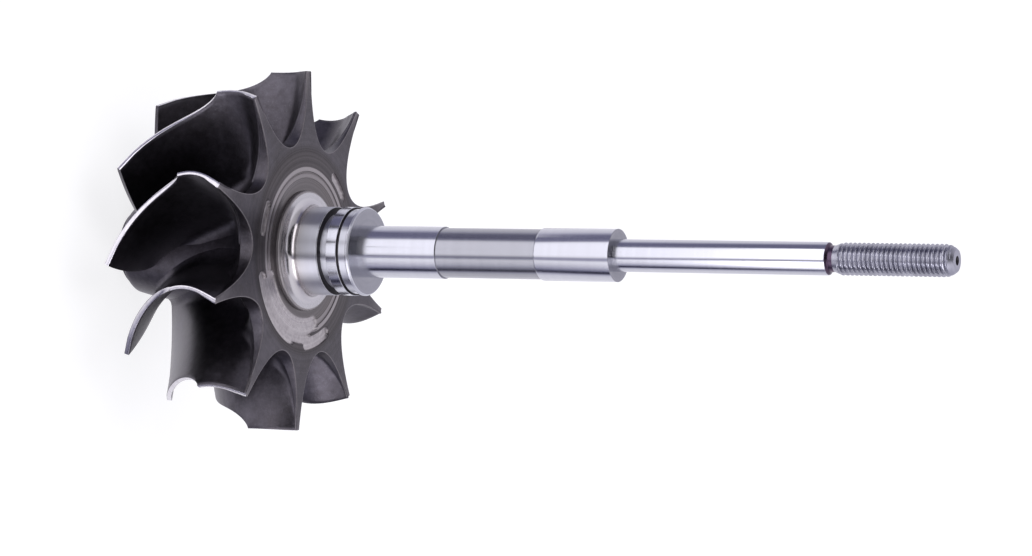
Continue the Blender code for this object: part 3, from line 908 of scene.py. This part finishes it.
def groove_runs(low, top, floor, shaded_ends):
    """A groove with broken edges and painted shade on its walls, and on a line at each end of its floor if
    it has some.
    """
    edge = SEAL_RADIUS - BROKEN_EDGE
    runs = [([(SEAL_RADIUS, low - BROKEN_EDGE), (edge, low)], SEAL), ([(edge, low), (floor, low)], GROOVE_SHADE)]
    if shaded_ends:
        runs += [([(floor, low), (floor, low + shaded_ends[0])], GROOVE_SHADE),
                 ([(floor, low + shaded_ends[0]), (floor, top - shaded_ends[1])], SEAL),
                 ([(floor, top - shaded_ends[1]), (floor, top), (edge, top)], GROOVE_SHADE)]
    else:
        runs += [([(floor, low), (floor, top)], SEAL), ([(floor, top), (edge, top)], GROOVE_SHADE)]
    return runs + [([(edge, top), (SEAL_RADIUS, top + BROKEN_EDGE)], SEAL)]


def seal_runs():
    """The weld flange, its fillet and the seal boss: (points, finish) for each stretch."""
    rim, corner = FLANGE_RADIUS / MM, SEAL_RADIUS + SEAL_FILLET
    flat, side = rim - FLANGE_ROUND, FLANGE_TOP_Z - FLANGE_ROUND
    fillet_top = FLANGE_TOP_Z + SEAL_FILLET
    runs = [([(rim, FLANGE_LOW_Z), (rim, side)], RIM),
            (arc(flat, side, FLANGE_ROUND, 0.0, 90.0), RIM),
            ([(flat, FLANGE_TOP_Z), (corner, FLANGE_TOP_Z)], FLANGE),
            (arc(corner, fillet_top, SEAL_FILLET, 270.0, 180.0, 14), STEEL),
            ([(SEAL_RADIUS, fillet_top), (SEAL_RADIUS, FOOT_TOP_Z)], FOOT)]
    for groove in GROOVES:
        runs += groove_runs(*groove)
    runs += [([(SEAL_RADIUS, 53.12), (8.72, 53.44), (8.52, SEAL_END_Z)], SEAL),
             ([(8.52, SEAL_END_Z), (JOURNAL_RADIUS, SEAL_END_Z)], FACE)]
    return runs


def shaft_profile():
    """Radius and height along the shaft with the finish of each stretch, from the weld up."""
    runs = seal_runs()
    runs += [([(JOURNAL_RADIUS, SEAL_END_Z), (JOURNAL_RADIUS, 70.88)], STEEL),
             ([(JOURNAL_RADIUS, 70.88), (5.15, 70.91), (4.97, 70.91), (WAIST_RADIUS, WAIST_LOW_Z)], FACE),
             ([(WAIST_RADIUS, WAIST_LOW_Z), (WAIST_RADIUS, WAIST_TOP_Z)], WAIST),
             ([(WAIST_RADIUS, WAIST_TOP_Z), (5.13, 92.6), (JOURNAL_RADIUS, 92.75),
               (JOURNAL_RADIUS, THIN_LOW_Z - 0.05)], STEEL),
             ([(JOURNAL_RADIUS, THIN_LOW_Z - 0.05), (5.13, THIN_LOW_Z), (THIN_RADIUS, THIN_LOW_Z)], FACE),
             ([(THIN_RADIUS, THIN_LOW_Z), (THIN_RADIUS, THIN_TOP_Z), (3.1, 152.1)], STEEL),
             ([(3.1, 152.1), (2.6, 152.42), (UNDERCUT_RADIUS, 152.55), (UNDERCUT_RADIUS, 152.7)], RELIEF)]
    points = np.array([point for run, _ in runs for point in run]) * MM
    finish = [slot if place else STEEL for run, slot in runs for place in range(len(run))]
    return points[:, 0], points[:, 1], np.array(finish)


# %% [markdown]
# ### The thread
# A thread isn't a stack of rings but one groove that winds up the bar. Still, plain rings can
# show it, if they lie close together: round each ring the radius follows the groove, which is a
# little further up at every angle. The end is rounded, so there the dome cuts the crests off.

# %% The thread, on rings that lie close together
THREAD_PITCH = 0.907 * MM
THREAD_RADIUS = 3.12 * MM
THREAD_DEPTH = 0.53 * MM
THREAD_FIRST_Z = 154.5 * MM
THREAD_FADE = 0.45 * MM
RINGS_PER_PITCH = 14
LEAD_CONE = 1.1 * MM
LEAD_RISE = 0.4 * MM
END_ROUND_Z = 174.9 * MM
END_RADIUS = 2.1 * MM
END_POWER = 2.4
# The centre hole's inside gets the near-black finish: painted shade.
END_RINGS = (  # radius, depth under the end in mm, and finish, down to the centre hole's bottom
    (2.0, 0.0, END), (0.92, 0.0, END), (0.86, 0.03, GROOVE_SHADE), (0.4, 0.95, GROOVE_SHADE), (0.36, 1.6, GROOVE_SHADE),
    (0.02, 1.7, GROOVE_SHADE))
SHAFT_SEGMENTS = 144
shaft_angle = np.linspace(0.0, 2.0 * np.pi, SHAFT_SEGMENTS, endpoint=False)[None, :]


def thread_depth_share(phase):
    """0 on the crest and 1 in the root, over one pitch, with straight flanks and soft corners."""
    away = np.abs((phase + 0.5) % 1.0 - 0.5)
    return np.clip((away - 0.07) / 0.31, 0.0, 1.0)


def thread_points():
    """Rings from the undercut to the end, deep where the groove passes, cut off by the round end."""
    low, high = THREAD_FIRST_Z - 1.7 * MM, SHAFT_END_Z - 0.03 * MM
    z = np.linspace(low, high, round((high - low) / THREAD_PITCH * RINGS_PER_PITCH))[:, None]
    turn = (z - THREAD_FIRST_Z) / THREAD_PITCH - shaft_angle / (2.0 * np.pi)
    full = THREAD_RADIUS - THREAD_DEPTH * thread_depth_share(turn)
    lead_in = np.clip((z - THREAD_FIRST_Z) / THREAD_FADE, 0.0, 1.0)
    rise = np.clip((z - THREAD_FIRST_Z) / LEAD_CONE + 1.0, 0.0, 1.0)
    foot = UNDERCUT_RADIUS * MM + LEAD_RISE * rise
    radius = foot + (full - foot) * lead_in
    end = np.clip((z - END_ROUND_Z) / (SHAFT_END_Z - END_ROUND_Z), 0.0, 1.0)
    dome = THREAD_RADIUS - (THREAD_RADIUS - END_RADIUS) * end ** END_POWER
    return polar(np.minimum(radius, dome), shaft_angle, z), z.ravel()


def make_shaft():
    """The whole shaft as one closed skin, from the weld to the bottom of the centre hole."""
    radius, height, finish = shaft_profile()
    lower = polar(radius[:, None], shaft_angle, height[:, None])
    thread, thread_z = thread_points()
    end_radius, end_depth, end_slot = np.array(END_RINGS).T
    upper = polar(end_radius[:, None] * MM, shaft_angle, SHAFT_END_Z - end_depth[:, None] * MM)
    rings = np.concatenate([lower, thread, upper])
    thread_slot = np.where(thread_z < THREAD_FIRST_Z - 1.0 * MM, RELIEF, THREAD)
    thread_slot[thread_z > END_ROUND_Z + 0.9 * MM] = END
    slots = np.concatenate([finish, thread_slot, end_slot.astype(int)])[1:]
    # The bottom of the centre hole gets the painted shade as well.
    face_slots = np.concatenate([np.repeat(slots, SHAFT_SEGMENTS), [RELIEF, GROOVE_SHADE]])
    piece = new_piece("turned_shaft", rings.reshape(-1, 3), closed_skin(len(rings), SHAFT_SEGMENTS),
                      SHAFT_FINISHES, face_slots, 24.0)
    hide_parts("rotor_shaft")


make_shaft()

# %% [markdown]
# ## Floor, light and camera
# The floor is one pale sheet. Polished metal has no look of its own: it shows the room. So the
# room is painted round the rotor as belts of light and dark panels. The light ones give the
# bands along the shaft, and the dark ones give its dark lines and the blades' deep shade.

# %% A pale floor
def make_floor(size=40.0):
    """One large dull square just under the nose, almost white because it glows a little.

    Only the camera sees it: the rotor mirrors the room and gets no light from the floor.
    """
    corners = [(-size, -size, 0.0), (size, -size, 0.0), (size, size, 0.0), (-size, size, 0.0)]
    mesh = bpy.data.meshes.new("floor")
    mesh.from_pydata(corners, [], [(0, 1, 2, 3)])
    material, _, shader = new_material("pale_floor")
    shader.inputs["Base Color"].default_value = (0.30, 0.30, 0.31, 1.0)
    shader.inputs["Emission Color"].default_value = (0.99, 0.99, 1.0, 1.0)
    shader.inputs["Emission Strength"].default_value = 0.79
    shader.inputs["Roughness"].default_value = 0.9
    shader.inputs["Specular IOR Level"].default_value = 0.1
    mesh.materials.append(material)
    floor = add_object("floor", mesh)
    floor.location.z = -0.2 * MM
    floor.visible_glossy = False
    floor.visible_diffuse = False


make_floor()

# %% A room of soft panels
PANELS = (  # heading in degrees from +X, and how bright the room is there just below eye level
    (0, 0.19), (14, 0.19), (26, 0.24), (31, 0.5), (36, 1.3), (50, 1.38), (95, 1.35), (103, 1.1),
    (108, 0.5), (117, 0.42), (122, 0.95), (127, 1.05), (140, 0.85), (155, 0.52), (168, 0.2), (173, 0.02),
    (181, 0.01), (185, 0.25), (190, 0.62), (205, 0.92), (230, 0.93), (270, 1.04), (300, 0.93), (325, 0.85),
    (336, 0.75), (349, 0.38), (357, 0.2),
)
EYE_LEVEL = (  # the same at eye level
    (0, 0.18), (22, 0.2), (29, 2.3), (96, 2.4), (102, 0.95), (107, 0.45), (112, 0.5), (117, 3.6),
    (143, 4.2), (154, 2.6), (165, 1.5), (173, 0.45), (182, 0.25), (195, 0.65), (250, 0.85), (335, 0.65),
    (350, 0.18),
)
DARK = ((0, 0.4), (17, 0.4), (27, 1.0), (104, 1.0), (112, 0.0), (320, 0.0), (335, 0.4))  # upper room
DARK_COLOUR = (0.012, 0.011, 0.014)
BRIGHT_LEVEL = 1.2
BACKDROP = (0.85, 0.85, 0.86)


def room_tint(level):
    """Dim parts of the room are bluer: the blue falls as a power of the brightness under 1."""
    return (level, 0.985 * level, level * max(1.05, 1.04 * level ** -0.22))


def add_belt(tree, heading, stops):
    """The room's light round one belt, from stops of (degrees, brightness)."""
    return add_ramp(tree, heading, [(degrees / 360.0, room_tint(level)) for degrees, level in stops])


def add_window(tree, value, start, full, fade, end, turn=1.0):
    """0 up to the start, 1 from full to fade and 0 past the end, all in parts of a turn."""
    rising = add_step(tree, value, start / turn, full / turn)
    return add_math(tree, "MULTIPLY", rising, add_step(tree, value, end / turn, fade / turn))


def make_room():
    """World light in belts by the heading: panels low down, panels at eye level, the upper room.

    The sine of the height parts the belts. A table lies low in front, and the upper room has a
    dark patch over the panels, one behind the rotor near the top, and a bright one beside it.
    """
    world = bpy.data.worlds.new("soft_room")
    bpy.context.scene.world = world
    world.use_nodes = True
    tree = world.node_tree
    tree.nodes.clear()
    x, y, z = split_place(tree, "Generated")
    turn = add_math(tree, "MULTIPLY", add_math(tree, "ARCTAN2", y, x), 1.0 / (2.0 * math.pi))
    heading = add_math(tree, "FRACT", turn)
    table = add_math(tree, "MULTIPLY", add_step(tree, z, -0.58, -0.70), add_step(tree, heading, 0.7, 0.8))
    low = add_mix(tree, table, add_belt(tree, heading, PANELS), room_tint(BRIGHT_LEVEL))
    dark_heading = add_ramp(tree, heading, [(degrees / 360.0, share) for degrees, share in DARK])
    above = add_math(tree, "MULTIPLY", dark_heading, add_window(tree, z, 0.22, 0.30, 0.96, 0.985))
    behind = add_math(tree, "MULTIPLY", add_window(tree, heading, 112.0, 124.0, 225.0, 250.0, 360.0),
                      add_step(tree, z, 0.87, 0.93))
    beside = add_math(tree, "MULTIPLY", add_window(tree, heading, 110.0, 117.0, 155.0, 174.0, 360.0),
                      add_step(tree, z, 0.93, 0.86))
    high = add_ramp(tree, z, [(0.3, room_tint(0.76)), (0.8, room_tint(1.0))])
    high = add_mix(tree, beside, high, room_tint(BRIGHT_LEVEL))
    high = add_mix(tree, add_math(tree, "MAXIMUM", above, behind), high, DARK_COLOUR)
    high = add_mix(tree, add_step(tree, z, 0.20, 0.30), add_belt(tree, heading, EYE_LEVEL), high)
    light = add_mix(tree, add_step(tree, z, -0.24, -0.06), low, high)
    seen = tree.nodes.new("ShaderNodeLightPath").outputs["Is Camera Ray"]
    glow = tree.nodes.new("ShaderNodeBackground")
    tree.links.new(add_mix(tree, seen, light, BACKDROP), glow.inputs["Color"])
    out = tree.nodes.new("ShaderNodeOutputWorld")
    tree.links.new(glow.outputs[0], out.inputs["Surface"])


make_room()


# %% Soft lamps
LAMP_SIZE = 0.5


def add_lamp(name, place, power):
    """A square soft lamp that points at the middle of the rotor.

    Its mirror image would leave streaks in bare metal, so only the dull floor gets its light.
    """
    light = bpy.data.lights.new(name, "AREA")
    light.size = LAMP_SIZE
    light.energy = power
    lamp = add_object(name, light)
    lamp.location = place
    aim = Vector((0.0, 0.0, 0.5 * SHAFT_END_Z)) - Vector(place)
    lamp.rotation_euler = aim.to_track_quat("-Z", "Y").to_euler()
    lamp.visible_camera = False
    lamp.visible_glossy = False


add_lamp("key", (0.35, 0.35, 0.75), 3.0)
add_lamp("fill", (-0.6, 0.4, 0.35), 1.0)

# %% [markdown]
# ## Camera
# The photograph was taken with a long lens, close to level with the shaft and from the shaft's
# side, with the rotor lying across the picture. Here the rotor stands, so the camera is rolled
# by a quarter turn and sees it the same way.

# %% Camera at the photograph's angle
CAMERA_PLACE = Vector((-24.3, 683.4, 377.6)) * MM + Vector((0.0, 0.0, BACK_Z))
CAMERA_FORWARD = Vector((0.025777, -0.900272, -0.434571))
CAMERA_UP = Vector((0.99919, 0.036639, -0.016642))
FOCAL_LENGTH = 135.0


def make_camera():
    """A camera from its place, the way it looks and the way up in the picture."""
    data = bpy.data.cameras.new("camera")
    data.lens = FOCAL_LENGTH
    data.clip_start = 0.05
    data.clip_end = 100.0
    camera = add_object("camera", data)
    forward = CAMERA_FORWARD.normalized()
    right = forward.cross(CAMERA_UP).normalized()
    turn = Matrix((right, right.cross(forward), -forward)).transposed()
    camera.matrix_world = Matrix.Translation(CAMERA_PLACE) @ turn.to_4x4()
    bpy.context.scene.camera = camera


make_camera()
bpy.context.scene.view_settings.view_transform = "Standard"
